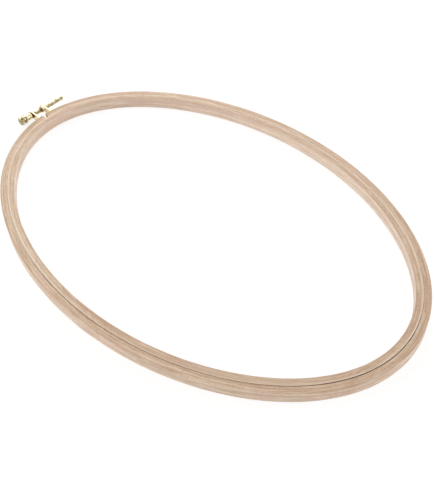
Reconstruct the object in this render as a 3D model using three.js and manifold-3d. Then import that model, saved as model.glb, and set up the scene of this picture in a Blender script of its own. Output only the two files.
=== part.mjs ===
// An oval wooden embroidery hoop. A plain inner ring drops into an outer ring that is split at
// one end, and a brass thumb screw between two bent brass brackets draws the split together.
// Millimetres. The hoop lies flat on z = 0, long axis along x, with the screw at the -x end.
import * as THREE from "three";
import { mergeVertices } from "three/addons/utils/BufferGeometryUtils.js";
import Module from "manifold-3d";

const wasm = await Module();
wasm.setup();

// The oval is drawn where the two rings meet.
const ovalLength = 300;
const ovalWidth = 200;
const quarterFlattening = 0.0055; // the four quarters lie this share inside a true ellipse

// Wooden rings
const ringGap = 0.3; // between the two rings, all the way round
const outerRingThickness = 4.55;
const innerRingThickness = 4.4;
const outerRingHeight = 8;
const innerRingRise = 0.6; // how far the inner ring stands above the outer one
const edgeRadius = 0.45;
const splitWidth = 3; // sawn gap in the outer ring
const splitMiddle = -2.1; // the gap's middle, to the screw head's side of the long axis

// Clearances in the hardware
const seatGap = 0.25; // metal to wood, nail to hole and head to sheet
const screwGap = 0.25; // screw to its holes

// Brackets, bent from one strip of brass each
const sheetThickness = 0.9;
const bendRadius = 0.6; // inside the bend
const lugGap = 9.4; // between the two lugs
const lugSide = 0.75; // metal beside the screw hole
const lugEnd = 1.9; // metal beyond the screw hole
const lugCorner = 1.4;
const strapLength = 8.6; // along the wood, from the back of the lug
const strapCorner = 1.2;
const screwStandoff = 10.5; // from the wood to the screw's axis
const collarWall = 0.8; // drawn collar that gives the tapped lug its length of thread
const collarLength = 1.5;

// Thumb screw, turned from one bar
const screwDiameter = 3.2;
const shankLength = 28.8; // from the shoulder to the tip
const tipLength = 1.1;
const neckDiameter = 4.8;
const neckLength = 5.3;
const headDiameter = 6.1;
const headLength = 5.3;
const headRim = 0.5; // chamfer at both ends of the head
const headCrown = 0.35;
const knurlCount = 24;
const knurlDepth = 0.35;

// Nails, two to a bracket
const nailDiameter = 1.1;
const nailHeadDiameter = 2.6;
const nailHeadHeight = 0.6;
const nailDepth = 3.2; // into the wood
const nailPoint = 0.9;
const nailSpacing = 3.8;
const nailInset = 2.3; // from the strap's end to the last nail

// How finely the curves are cut
const ovalSteps = 144;
const edgeSteps = 2;
const strapSteps = 8;
const bendSteps = 5;
const roundSteps = 32;
const nailSteps = 16;

// Places that follow from the sizes, measured outward from the oval where the rings meet
const outerFace = ringGap / 2 + outerRingThickness;
const strapInside = outerFace + seatGap;
const strapOutside = strapInside + sheetThickness;
const midHeight = outerRingHeight / 2;
const holeRadius = screwDiameter / 2 + screwGap;
const stripWidth = 2 * (holeRadius + lugSide);
const lugNear = lugGap / 2;
const lugFar = lugNear + sheetThickness;
const strapEnd = lugFar + strapLength;
const endFaceX = -ovalLength / 2 - outerFace;
const screwX = endFaceX - screwStandoff;
const lugTipX = screwX - holeRadius - lugEnd;
const nailHoleRadius = nailDiameter / 2 + seatGap;
const reachX = Math.min(lugTipX, screwX - headDiameter / 2);
const originX = (reachX - endFaceX) / 2; // middle of the whole length, clamp included

const X = new THREE.Vector3(1, 0, 0);
const Y = new THREE.Vector3(0, 1, 0);
const Z = new THREE.Vector3(0, 0, 1);

const wood = { color: "#d3b095", roughness: 0.7, metalness: 0 };
const brass = { color: "#c9b574", roughness: 0.3, metalness: 1 };

// The oval at an angle round from +x: the point at an offset outside it, and the way out.
function ovalAt(angle, offset) {
  const radius = 1 - (quarterFlattening * (1 - Math.cos(4 * angle))) / 2;
  const change = -2 * quarterFlattening * Math.sin(4 * angle);
  const cos = Math.cos(angle);
  const sin = Math.sin(angle);
  const along = new THREE.Vector2(
    (ovalLength / 2) * (change * cos - radius * sin),
    (ovalWidth / 2) * (change * sin + radius * cos),
  );
  const outward = new THREE.Vector2(along.y, -along.x).normalize();
  const point = new THREE.Vector2(
    (ovalLength / 2) * radius * cos,
    (ovalWidth / 2) * radius * sin,
  );
  return { point: point.addScaledVector(outward, offset), outward };
}

// The same near the split, found by its distance y from the long axis.
function wallAt(y, offset) {
  let low = Math.PI / 2;
  let high = (3 * Math.PI) / 2;
  for (let step = 0; step < 40; step++) {
    const middle = (low + high) / 2;
    if (ovalAt(middle, offset).point.y > y) low = middle;
    else high = middle;
  }
  return ovalAt(low, offset);
}

function ovalPoints(offset) {
  return Array.from(
    { length: ovalSteps },
    (_, step) => ovalAt((2 * Math.PI * step) / ovalSteps, offset).point,
  );
}

// Closed geometry to a solid that can be cut, and back.
function solidFrom(geometry) {
  const bare = geometry.clone();
  bare.deleteAttribute("normal");
  bare.deleteAttribute("uv");
  const merged = mergeVertices(bare, 1e-4);
  return new wasm.Manifold(
    new wasm.Mesh({
      numProp: 3,
      vertProperties: merged.attributes.position.array,
      triVerts: new Uint32Array(merged.index.array),
    }),
  );
}

function geometryFrom(solid) {
  const { vertProperties, triVerts } = solid.getMesh();
  const geometry = new THREE.BufferGeometry();
  geometry.setAttribute("position", new THREE.BufferAttribute(vertProperties, 3));
  geometry.setIndex(new THREE.BufferAttribute(triVerts, 1));
  geometry.computeVertexNormals();
  return geometry;
}

function meshOf(name, geometry, finish) {
  const mesh = new THREE.Mesh(geometry, new THREE.MeshStandardMaterial(finish));
  mesh.name = name;
  return mesh;
}

// A wooden ring between two offsets from the oval, with rounded edges.
function ringGeometry(inside, outside, height) {
  const plan = new THREE.Shape(ovalPoints(outside));
  plan.holes.push(new THREE.Path(ovalPoints(inside)));
  return new THREE.ExtrudeGeometry(plan, {
    depth: height - 2 * edgeRadius,
    bevelThickness: edgeRadius,
    bevelSize: edgeRadius,
    bevelOffset: -edgeRadius,
    bevelSegments: edgeSteps,
  }).translate(0, 0, edgeRadius);
}

function innerRing() {
  const height = outerRingHeight + innerRingRise;
  return ringGeometry(-ringGap / 2 - innerRingThickness, -ringGap / 2, height);
}

// The outer ring has the saw's gap at the -x end and a blind hole for each nail.
function outerRing() {
  let ring = solidFrom(ringGeometry(ringGap / 2, outerFace, outerRingHeight));
  const sawCut = new THREE.BoxGeometry(ovalLength / 2, splitWidth, 2 * outerRingHeight);
  ring = ring.subtract(solidFrom(sawCut.translate(-ovalLength / 2, splitMiddle, midHeight)));
  for (const side of [-1, 1])
    for (const y of nailPlaces()) ring = ring.subtract(nailHole(side * y));
  return geometryFrom(ring);
}

// Distances of a bracket's two nails from the long axis.
function nailPlaces() {
  const last = strapEnd - nailInset;
  return [last - nailSpacing, last];
}

// Puts something drawn along +y on the wall, pointing outward, its origin at an offset.
function wallPlacement(y, offset) {
  const { point, outward } = wallAt(y, offset);
  return new THREE.Matrix4().compose(
    new THREE.Vector3(point.x, point.y, midHeight),
    new THREE.Quaternion().setFromUnitVectors(Y, new THREE.Vector3(outward.x, outward.y, 0)),
    new THREE.Vector3(1, 1, 1),
  );
}

// From clear of the nail's tip to well outside the strap.
function nailHole(y) {
  const low = -nailDepth - seatGap;
  const high = 2 * (strapOutside - outerFace);
  const hole = new THREE.CylinderGeometry(nailHoleRadius, nailHoleRadius, high - low, nailSteps);
  return solidFrom(hole.translate(0, (high + low) / 2, 0).applyMatrix4(wallPlacement(y, outerFace)));
}

// Domed head above the sheet, round shank, short point. The origin is on the head's underside.
function nailGeometry() {
  const shank = nailDepth + sheetThickness + 2 * seatGap;
  const head = nailHeadDiameter / 2;
  const profile = [
    new THREE.Vector2(0, -shank),
    new THREE.Vector2(nailDiameter / 2, nailPoint - shank),
    new THREE.Vector2(nailDiameter / 2, 0),
    new THREE.Vector2(head, 0),
    new THREE.Vector2(head, nailHeadHeight * 0.3),
    new THREE.Vector2(head * 0.75, nailHeadHeight * 0.75),
    new THREE.Vector2(head * 0.4, nailHeadHeight * 0.95),
    new THREE.Vector2(0, nailHeadHeight),
  ];
  return new THREE.LatheGeometry(profile, nailSteps);
}

function roundedPlate(left, right, bottom, top, radius) {
  const shape = new THREE.Shape();
  shape.moveTo(left + radius, bottom);
  shape.lineTo(right - radius, bottom);
  shape.quadraticCurveTo(right, bottom, right, bottom + radius);
  shape.lineTo(right, top - radius);
  shape.quadraticCurveTo(right, top, right - radius, top);
  shape.lineTo(left + radius, top);
  shape.quadraticCurveTo(left, top, left, top - radius);
  shape.lineTo(left, bottom + radius);
  shape.quadraticCurveTo(left, bottom, left + radius, bottom);
  return shape;
}

function extruded(shape, depth) {
  return new THREE.ExtrudeGeometry(shape, { depth, bevelEnabled: false, curveSegments: bendSteps });
}

// Plan of a bent strip seen from above, side 1 for +y and -1 for -y: along the wall of the
// wood, round the bend, out along the lug and back over the strap.
function bracketPlan(side) {
  const outerBend = bendRadius + sheetThickness;
  const run = (offset, from, to) =>
    Array.from({ length: strapSteps + 1 }, (_, step) => {
      const y = from + ((to - from) * step) / strapSteps;
      return wallAt(side * y, offset).point;
    });
  const corner = (offset, y) => wallAt(side * y, offset).point;
  const woodSide = run(strapInside, strapEnd, lugNear + outerBend);
  const woodCorner = corner(strapInside, lugNear);
  const airCorner = corner(strapOutside, lugFar);
  const plan = new THREE.Shape();
  plan.moveTo(woodSide[0].x, woodSide[0].y);
  for (const point of woodSide.slice(1)) plan.lineTo(point.x, point.y);
  plan.quadraticCurveTo(woodCorner.x, woodCorner.y, woodCorner.x - outerBend, side * lugNear);
  plan.lineTo(lugTipX, side * lugNear);
  plan.lineTo(lugTipX, side * lugFar);
  plan.lineTo(airCorner.x - bendRadius, side * lugFar);
  const airSide = run(strapOutside, lugFar + bendRadius, strapEnd);
  plan.quadraticCurveTo(airCorner.x, airCorner.y, airSide[0].x, airSide[0].y);
  for (const point of airSide.slice(1)) plan.lineTo(point.x, point.y);
  return plan;
}

// Collar on the lug's inner side, round the tapped hole.
function collarSolid(side) {
  const radius = holeRadius + collarWall;
  const overlap = sheetThickness / 2;
  const collar = new THREE.CylinderGeometry(radius, radius, collarLength + overlap, roundSteps);
  const y = side * (lugNear + (overlap - collarLength) / 2);
  return solidFrom(collar.translate(screwX, y, midHeight));
}

function bracketGeometry(side, tapped) {
  const bottom = midHeight - stripWidth / 2;
  const top = midHeight + stripWidth / 2;
  const strip = solidFrom(extruded(bracketPlan(side), stripWidth).translate(0, 0, bottom));
  // The lug's corners are rounded seen along y, and the strap's corners seen along x.
  const behindX = 2 * strapEnd + endFaceX;
  const lugFace = extruded(roundedPlate(lugTipX, behindX, bottom, top, lugCorner), 4 * strapEnd);
  lugFace.translate(0, 0, -2 * strapEnd);
  lugFace.applyMatrix4(new THREE.Matrix4().makeBasis(X, Z, Y.clone().negate()));
  const strapFace = extruded(
    roundedPlate(-strapEnd, strapEnd, bottom, top, strapCorner),
    behindX - lugTipX + 2 * strapEnd,
  );
  strapFace.translate(0, 0, lugTipX - strapEnd);
  strapFace.applyMatrix4(new THREE.Matrix4().makeBasis(Y, Z, X));
  let bracket = strip.intersect(solidFrom(lugFace)).intersect(solidFrom(strapFace));
  if (tapped) bracket = bracket.add(collarSolid(side));
  const bore = new THREE.CylinderGeometry(holeRadius, holeRadius, 4 * lugFar, roundSteps);
  bracket = bracket.subtract(solidFrom(bore.translate(screwX, 0, midHeight)));
  for (const y of nailPlaces()) bracket = bracket.subtract(nailHole(side * y));
  return geometryFrom(bracket);
}

// A bar with straight grooves all round, drawn along y from 0.
function knurledBar(length) {
  const outline = [];
  const radius = headDiameter / 2;
  const pitch = (2 * Math.PI) / knurlCount;
  for (let tooth = 0; tooth < knurlCount; tooth++) {
    const steps = [
      [0, radius - knurlDepth],
      [0.3, radius],
      [0.7, radius],
    ];
    for (const [share, r] of steps) {
      const angle = (tooth + share) * pitch;
      outline.push(new THREE.Vector2(r * Math.cos(angle), r * Math.sin(angle)));
    }
  }
  const bar = new THREE.ExtrudeGeometry(new THREE.Shape(outline), {
    depth: length,
    bevelEnabled: false,
  });
  return bar.applyMatrix4(new THREE.Matrix4().makeBasis(Z, X, Y));
}

// The screw lies along y, its head at the -y end and its shoulder against the plain lug.
function thumbScrew() {
  const shoulder = -lugFar - screwGap;
  const neckEnd = shoulder - neckLength;
  const headEnd = neckEnd - headLength;
  const tip = shoulder + shankLength;
  const head = headDiameter / 2;
  const neck = neckDiameter / 2;
  const shank = screwDiameter / 2;
  const blank = new THREE.LatheGeometry(
    [
      new THREE.Vector2(0, headEnd),
      new THREE.Vector2(head * 0.5, headEnd + headCrown * 0.25),
      new THREE.Vector2(head - headRim, headEnd + headCrown),
      new THREE.Vector2(head, headEnd + headCrown + headRim),
      new THREE.Vector2(head, neckEnd - headRim),
      new THREE.Vector2(head - headRim, neckEnd),
      new THREE.Vector2(0, neckEnd),
    ],
    knurlCount * 2,
  );
  const body = new THREE.LatheGeometry(
    [
      new THREE.Vector2(0, neckEnd - headLength / 2),
      new THREE.Vector2(neck, neckEnd - headLength / 2),
      new THREE.Vector2(neck, shoulder),
      new THREE.Vector2(shank, shoulder),
      new THREE.Vector2(shank, tip - tipLength),
      new THREE.Vector2(shank * 0.8, tip - tipLength * 0.4),
      new THREE.Vector2(shank * 0.4, tip - tipLength * 0.08),
      new THREE.Vector2(0, tip),
    ],
    roundSteps,
  );
  const knurl = knurledBar(headLength * 2).translate(0, headEnd - headLength / 2, 0);
  const screw = solidFrom(blank).intersect(solidFrom(knurl)).add(solidFrom(body));
  return geometryFrom(screw.translate([screwX, 0, midHeight]));
}

const hoop = new THREE.Group();
hoop.position.x = -originX;
hoop.add(meshOf("outer_ring", outerRing(), wood));
hoop.add(meshOf("inner_ring", innerRing(), wood));
hoop.add(meshOf("left_bracket", bracketGeometry(-1, false), brass));
hoop.add(meshOf("right_bracket", bracketGeometry(1, true), brass));
hoop.add(meshOf("thumb_screw", thumbScrew(), brass));
for (const [name, side] of [["left_nail", -1], ["right_nail", 1]])
  nailPlaces().forEach((y, index) => {
    const nail = meshOf(`${name}_${index + 1}`, nailGeometry(), brass);
    nail.applyMatrix4(wallPlacement(side * y, strapOutside + seatGap));
    hoop.add(nail);
  });

export default hoop;
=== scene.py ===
"""An oval beech embroidery hoop with its brass clamp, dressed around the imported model.

Metres, +Z up. The hoop lies flat on z = 0 with the clamp at its -x end.
"""

import math

import bmesh
import bpy
import numpy as np
from mathutils import Matrix, Vector


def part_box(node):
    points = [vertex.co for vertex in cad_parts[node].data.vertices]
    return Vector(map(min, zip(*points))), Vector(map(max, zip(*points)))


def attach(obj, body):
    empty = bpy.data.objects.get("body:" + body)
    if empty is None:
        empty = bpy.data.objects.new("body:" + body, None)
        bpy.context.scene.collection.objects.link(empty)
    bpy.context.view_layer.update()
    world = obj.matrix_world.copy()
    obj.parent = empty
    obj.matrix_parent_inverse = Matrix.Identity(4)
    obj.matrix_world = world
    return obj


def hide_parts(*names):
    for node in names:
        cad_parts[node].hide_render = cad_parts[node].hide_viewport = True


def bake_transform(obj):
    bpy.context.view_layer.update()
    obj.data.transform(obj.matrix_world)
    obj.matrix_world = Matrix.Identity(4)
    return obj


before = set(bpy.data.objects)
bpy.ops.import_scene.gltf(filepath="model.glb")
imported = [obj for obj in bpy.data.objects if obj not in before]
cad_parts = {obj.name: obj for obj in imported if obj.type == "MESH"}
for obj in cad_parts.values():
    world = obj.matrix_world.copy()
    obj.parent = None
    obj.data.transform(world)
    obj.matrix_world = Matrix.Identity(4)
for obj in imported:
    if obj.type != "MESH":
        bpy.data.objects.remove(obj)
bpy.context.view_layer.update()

MM = 0.001

# The two rings, where the frame's boxes don't give a size. The flattening is the share by
# which the oval lies inside a true ellipse in its four quarters.
RING_GAP = 0.3 * MM
INNER_THICKNESS = 4.4 * MM
QUARTER_FLATTENING = 0.0055
SPLIT_WIDTH = 3.0 * MM
SPLIT_MIDDLE = -2.1 * MM
SPLIT_SQUARE = 8 * MM
SAW_CHAMFER = 0.12 * MM
STATION_STEP = 1.5 * MM
GLUE_JOINT_ANGLE = math.radians(264)

# Radii of the rings' long edges: most of them, the outer ring's at the gap, the same where
# the rings are tight, and the inner ring's at the opening
ARRIS_RADIUS = 0.45 * MM
GAP_ARRIS = 0.18 * MM
TIGHT_ARRIS = 0.05 * MM
SOFT_ARRIS = 0.75 * MM

# How far each ring's wall stands into the gap, how much more where they are tight, and how
# much less where they are loose
SNUG = 0.12 * MM
TIGHT = 0.007 * MM
LOOSE = 0.12 * MM

# Where that is: a middle angle of the oval, and the degrees from it to full and to nothing
CLOSING_SIDE = (115, 37, 60)
LOOSE_SIDE = (348, 8, 30)
TIGHT_SIDES = ((42, 18, 31), (222, 22, 38))

# Painted shade on the gap's walls: the heights where it ends and where it is full, how far
# past the outer ring's top it goes on the inner ring, how far below it the outer ring's own
# starts, and how far from the gap's middle a face still has it
GAP_SHADE_FOOT = 5.6 * MM
GAP_SHADE_FULL = 7.6 * MM
GAP_SHADE_RISE = 0.06 * MM
GAP_SHADE_DROP = 0.02 * MM
GAP_SHADE_REACH = 0.22 * MM

# Heights of rows of faces on the rings' walls
WALL_LEVELS = (2.4 * MM, 4.0 * MM, GAP_SHADE_FOOT, 6.8 * MM)

# Brackets. The seat is the play between the sheet and the wood or a nail's head.
SHEET = 0.9 * MM
BEND_RADIUS = 0.6 * MM
SEAT = 0.03 * MM
PLAIN_HOLE = 1.76 * MM
TAPPED_HOLE = 1.64 * MM
COLLAR_WALL = 0.8 * MM
LUG_CORNER = 1.4 * MM
STRAP_CORNER = 1.2 * MM
LUG_PATCH = 3.0 * MM
SHEET_EDGE = 0.13 * MM

# Thumb screw
SHANK_LENGTH = 28.8 * MM
SHANK_RADIUS = 1.6 * MM
NECK_RADIUS = 2.4 * MM
NECK_LENGTH = 5.3 * MM
THREAD_PITCH = 0.6 * MM
THREAD_DEPTH = 0.3 * MM
THREAD_START = 0.9 * MM
THREAD_CREST = 0.12
THREAD_FLANK = 0.74
TIP_LENGTH = 1.1 * MM
TIP_TAPER = 0.42
HEAD_RIM = 0.5 * MM
HEAD_CROWN = 0.35 * MM
KNURL_COUNT = 24
KNURL_DEPTH = 0.35 * MM
KNURL_FLANK = 0.34
TURNED_EDGE = 0.12 * MM

# Nails
NAIL_RADIUS = 0.55 * MM
NAIL_HEAD_RADIUS = 1.3 * MM
NAIL_HEAD_HEIGHT = 0.6 * MM
NAIL_HEAD_EDGE = 0.2 * MM
NAIL_DEPTH = 3.2 * MM
NAIL_POINT = 0.9 * MM
NAIL_SPACING = 3.8 * MM
NAIL_INSET = 2.3 * MM

# Sizes and places read from the frame
inner_low, inner_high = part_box("inner_ring")
outer_low, outer_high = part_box("outer_ring")
left_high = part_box("left_bracket")[1]
right_low, right_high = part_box("right_bracket")
screw_low, screw_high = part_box("thumb_screw")
CENTRE_X = (inner_low.x + inner_high.x) / 2
HALF_LENGTH = inner_high.x - CENTRE_X + RING_GAP / 2
HALF_WIDTH = inner_high.y + RING_GAP / 2
OUTER_FACE = outer_high.x - CENTRE_X - HALF_LENGTH
INNER_FACE = -RING_GAP / 2 - INNER_THICKNESS
OUTER_TOP = outer_high.z
INNER_TOP = inner_high.z
MID_HEIGHT = OUTER_TOP / 2
SCREW_X = (screw_low.x + screw_high.x) / 2
HEAD_RADIUS = (screw_high.z - screw_low.z) / 2
HEAD_END = screw_low.y
SHOULDER_Y = screw_high.y - SHANK_LENGTH
NECK_END = SHOULDER_Y - NECK_LENGTH
LUG_NEAR = -left_high.y
LUG_TIP_X = right_low.x
STRAP_END = right_high.y
STRIP_HALF = (right_high.z - right_low.z) / 2
COLLAR_LENGTH = LUG_NEAR - right_low.y
STRAP_OUTSIDE = OUTER_FACE + SEAT + SHEET
OUTER_END_X = outer_low.x


# The oval

def oval(angle, offset=0.0):
    """Points (n, 2) at an offset outside the oval, and the directions outward there."""
    radius = 1 - QUARTER_FLATTENING * (1 - np.cos(4 * angle)) / 2
    change = -2 * QUARTER_FLATTENING * np.sin(4 * angle)
    cos, sin = np.cos(angle), np.sin(angle)
    along_x = HALF_LENGTH * (change * cos - radius * sin)
    along_y = HALF_WIDTH * (change * sin + radius * cos)
    outward = np.stack([along_y, -along_x], -1) / np.hypot(along_x, along_y)[..., None]
    point = np.stack([CENTRE_X + HALF_LENGTH * radius * cos, HALF_WIDTH * radius * sin], -1)
    return point + outward * np.asarray(offset)[..., None], outward


TABLE_ANGLES = np.linspace(0, 2 * math.pi, 7201)
TABLE_STEPS = np.linalg.norm(np.diff(oval(TABLE_ANGLES)[0], axis=0), axis=1)
TABLE_DISTANCES = np.concatenate([[0], np.cumsum(TABLE_STEPS)])
ROUND = TABLE_DISTANCES[-1]


def angle_at(distance):
    """The angle reached after a distance round the oval from its +x end."""
    return np.interp(np.mod(distance, ROUND), TABLE_DISTANCES, TABLE_ANGLES)


def distance_at(angle):
    """The distance round the oval from its +x end to an angle."""
    return np.interp(np.mod(angle, 2 * math.pi), TABLE_ANGLES, TABLE_DISTANCES)


def split_distance(y, offset):
    """Distance round the oval to where it passes a y near the -x end, at an offset."""
    angles = np.linspace(math.pi * 0.6, math.pi * 1.2, 4001)
    heights = oval(angles, offset)[0][:, 1]
    return distance_at(np.interp(-y, -heights, angles))


def wall_at(y, offset):
    """A point at an offset from the oval near its -x end, found by its y, and the way out."""
    angles = np.linspace(math.pi * 0.8, math.pi * 1.2, 8001)
    heights = oval(angles, offset)[0][:, 1]
    angle = np.interp(-y, -heights, angles)
    point, outward = oval(np.array([angle]), offset)
    return point[0], outward[0]


def strip_place(points):
    """Where points (n, 3) lie in a bent strip: distance round the oval, outward, up."""
    flat = points[:, :2] - np.array([CENTRE_X, 0])
    angle = np.arctan2(flat[:, 1] / HALF_WIDTH, flat[:, 0] / HALF_LENGTH)
    small = 1e-5
    for _ in range(10):
        middle = oval(angle)[0]
        ahead = (oval(angle + small)[0] - middle) / small
        miss = points[:, :2] - middle
        angle = angle + np.sum(miss * ahead, axis=1) / np.sum(ahead * ahead, axis=1)
    middle, outward = oval(angle)
    across = np.sum((points[:, :2] - middle) * outward, axis=1)
    return distance_at(angle), across, points[:, 2]


# Meshes

def put_in_scene(name, data):
    made = bpy.data.objects.new(name, data)
    bpy.context.scene.collection.objects.link(made)
    return made


def quads(rows, columns, wrap_rows=False, wrap_columns=False, first=0):
    """Faces of a grid of points stored row by row."""
    row = np.arange(rows if wrap_rows else rows - 1)
    column = np.arange(columns if wrap_columns else columns - 1)
    i, j = np.meshgrid(row, column, indexing="ij")
    below, beside = (i + 1) % rows, (j + 1) % columns
    corners = [i * columns + j, below * columns + j, below * columns + beside, i * columns + beside]
    return (np.stack(corners, -1).reshape(-1, 4) + first).tolist()


def mesh_object(name, points, faces, sharp_angle=35):
    """A piece of its own, its faces turned outward, smooth but for its sharp edges."""
    mesh = bpy.data.meshes.new(name)
    mesh.from_pydata([tuple(p) for p in points], [], faces)
    shell = bmesh.new()
    shell.from_mesh(mesh)
    bmesh.ops.recalc_face_normals(shell, faces=shell.faces)
    shell.to_mesh(mesh)
    shell.free()
    mesh.validate()
    mesh.shade_smooth()
    mesh.set_sharp_from_angle(angle=math.radians(sharp_angle))
    return put_in_scene(name, mesh)


def freeze(piece):
    """Applies the piece's modifiers to its mesh."""
    bpy.context.view_layer.update()
    graph = bpy.context.evaluated_depsgraph_get()
    made = bpy.data.meshes.new_from_object(piece.evaluated_get(graph))
    piece.modifiers.clear()
    piece.data = made


def caps(rows, columns):
    """The faces that close both ends of a grid that is wrapped round its columns."""
    last = (rows - 1) * columns
    return [list(range(columns)), list(range(last, last + columns))]


def circle_at(y, angle, radius):
    """A row of points round the y axis."""
    return np.stack([radius * np.sin(angle), np.full(len(angle), y), radius * np.cos(angle)], -1)


def lathe(name, rows, columns, radius_at, sharp_angle=35):
    """A closed turned piece along +y: rows of y, radius_at(y, angle), ends closed flat."""
    angle = np.arange(columns) * 2 * math.pi / columns
    points = np.concatenate([circle_at(y, angle, radius_at(y, angle)) for y in rows])
    faces = quads(len(rows), columns, wrap_columns=True) + caps(len(rows), columns)
    return mesh_object(name, points, faces, sharp_angle)


def cylinder(radius, low, high, place):
    """A cutter along the place's own y axis."""
    cutter = lathe("cutter", [low, high], 32, lambda y, angle: np.full(len(angle), radius))
    cutter.matrix_world = place
    return cutter


def cut(piece, cutters):
    """Takes the cutters' shapes out of the piece, and the cutters out of the scene."""
    for cutter in cutters:
        modifier = piece.modifiers.new("hole", "BOOLEAN")
        modifier.operation = "DIFFERENCE"
        modifier.solver = "EXACT"
        modifier.object = cutter
    freeze(piece)
    for cutter in cutters:
        bpy.data.objects.remove(cutter)


# Wooden rings

def ring_section(inside, outside, top, inner_arris, outer_arris, inset=0.0):
    """Round a ring's cross-section: (outward, up) of each point, edges rounded."""
    low_r, high_r = inside + inset, outside - inset
    low_z, high_z = inset, top - inset
    corners = [
        (high_r, low_z, -1, 1, ARRIS_RADIUS, -90),
        (high_r, high_z, -1, -1, outer_arris, 0),
        (low_r, high_z, 1, -1, inner_arris, 90),
        (low_r, low_z, 1, 1, ARRIS_RADIUS, 180),
    ]
    arcs = []
    for r, z, inward, upward, full, start in corners:
        radius = max(full - 0.6 * inset, 0.05 * MM)
        turn = np.radians(np.linspace(start, start + 90, 6))
        arcs.append(np.stack([r + radius * (inward + np.cos(turn)),
                              z + radius * (upward + np.sin(turn))], -1))
    points = []
    for arc, following in zip(arcs, arcs[1:] + arcs[:1]):
        points.extend(arc)
        first, last = arc[-1], following[0]
        if abs(last[1] - first[1]) > top / 2:
            shares = np.sort((wall_heights(first[1], last[1]) - first[1]) / (last[1] - first[1]))
        else:
            shares = (0.03, 0.25, 0.5, 0.75, 0.97)
        points.extend(first + (last - first) * share for share in shares)
    return np.array(points)


def wall_heights(one_end, other_end):
    """Heights of a ring wall's rows between its two arrises."""
    low, high = sorted((one_end, other_end))
    beside = 0.15 * MM
    levels = np.array([*WALL_LEVELS, OUTER_TOP + GAP_SHADE_RISE])
    levels = levels[(levels > low + beside) & (levels < high - 0.05 * MM)]
    return np.concatenate([[low + beside, high - beside], levels])


def waver(distance, counts, phases):
    """A smooth wander between -1 and 1 round the hoop, the same each time."""
    turn = 2 * math.pi * distance / ROUND
    return sum(np.sin(n * turn + p) for n, p in zip(counts, phases)) / len(counts)


def around(angle, middle, full, none):
    """1 within full degrees of a middle angle, easing to 0 at none degrees from it."""
    away = np.abs(np.mod(np.degrees(angle) - middle + 180, 360) - 180)
    share = np.clip((none - away) / (none - full), 0, 1)
    return share * share * (3 - 2 * share)


def tightness(angle):
    """1 where the rings are pressed hard together."""
    return sum(around(angle, *side) for side in TIGHT_SIDES)


def snug(angle):
    """How far each ring's wall stands into the gap: least where the split end closes in."""
    snugness = 1 - around(angle, *CLOSING_SIDE)
    return SNUG * snugness + TIGHT * tightness(angle) - LOOSE * around(angle, *LOOSE_SIDE)


def inner_ring():
    """The closed ring, its thickness and height a little uneven."""
    stations = int(ROUND / STATION_STEP)
    distance = np.arange(stations) * ROUND / stations
    section = ring_section(INNER_FACE, -RING_GAP / 2, INNER_TOP, SOFT_ARRIS, ARRIS_RADIUS)
    angle = angle_at(distance)
    rows = []
    thinner = 0.03 * MM * (1 + waver(distance, (5, 11, 17), (0.4, 2.0, 4.4)))
    into_gap = snug(angle)
    for k, u in enumerate(angle):
        outward = section[:, 0].copy()
        outer = (outward > -RING_GAP / 2 - INNER_THICKNESS / 2).astype(float)
        outward += (1 - outer) * thinner[k] + outer * into_gap[k]
        up = section[:, 1] * (1 - 0.006 * (1 + waver(distance[k], (3, 7), (1.0, 3.0))))
        flat = oval(np.full(len(section), u), outward)[0]
        rows.append(np.column_stack([flat, up]))
    faces = quads(stations, len(section), wrap_rows=True, wrap_columns=True)
    ring = mesh_object("inner_ring_wood", np.concatenate(rows), faces)
    strip_attribute(ring, distance_at(GLUE_JOINT_ANGLE) - JOINT_LEAD)
    mark_gap(ring, 1, OUTER_TOP + GAP_SHADE_RISE)
    return ring


def outer_half(name, side):
    """Half of the split ring, from the sawn face round to the +x end; side is +1 or -1."""
    inside, outside = RING_GAP / 2, OUTER_FACE
    sawn_y = side * SPLIT_MIDDLE + SPLIT_WIDTH / 2
    saw = split_distance(sawn_y, 0.0)
    halfway = 0.035 * MM
    near = np.array([0, halfway, SAW_CHAMFER, 0.3 * MM, 0.7 * MM, 1.3 * MM])
    insets = np.array([SAW_CHAMFER, halfway, 0, 0, 0, 0])
    rest = np.linspace(saw - near[-1] - STATION_STEP, 0, int(saw / STATION_STEP))
    distance = np.concatenate([saw - near, rest])
    inset = np.concatenate([insets, np.zeros(len(rest))])
    wander = 0.04 * MM * waver(distance, (4, 9, 15), (0.9, 2.6, 5.1))
    angle = side * angle_at(distance)
    into_gap = snug(angle)
    gap_arris = GAP_ARRIS + (TIGHT_ARRIS - GAP_ARRIS) * tightness(angle)
    rows = []
    for k, s in enumerate(distance):
        section = ring_section(inside, outside, OUTER_TOP, gap_arris[k], ARRIS_RADIUS, inset[k])
        square = max(0.0, 1 - (saw - s) / SPLIT_SQUARE)
        lean = np.zeros(len(section))
        if square:
            lean = np.array([split_distance(sawn_y, r) - saw for r in section[:, 0]])
        outer = section[:, 0] > (inside + outside) / 2
        moved = np.where(outer, np.abs(wander[k]) * (1 - square), into_gap[k])
        offset = section[:, 0] - moved
        flat = oval(angle_at(s + lean * square), offset)[0]
        rows.append(np.column_stack([flat[:, 0], side * flat[:, 1], section[:, 1]]))
    columns = len(rows[0])
    faces = quads(len(rows), columns, wrap_columns=True) + caps(len(rows), columns)
    half = mesh_object(name, np.concatenate(rows), faces)
    cut(half, [nail_cutter(side * y, NAIL_RADIUS, OUTER_FACE) for y in nail_places()])
    for face in half.data.polygons:
        square_on = abs(face.normal.y) > 0.97 and face.center.x < CENTRE_X
        if square_on and abs(face.center.y - SPLIT_MIDDLE) < SPLIT_WIDTH / 2 + 0.01 * MM:
            face.material_index = 1
    strip_attribute(half, split_distance(SPLIT_MIDDLE, 0.0))
    mark_gap(half, 2, OUTER_TOP - GAP_SHADE_DROP)
    return half


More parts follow.
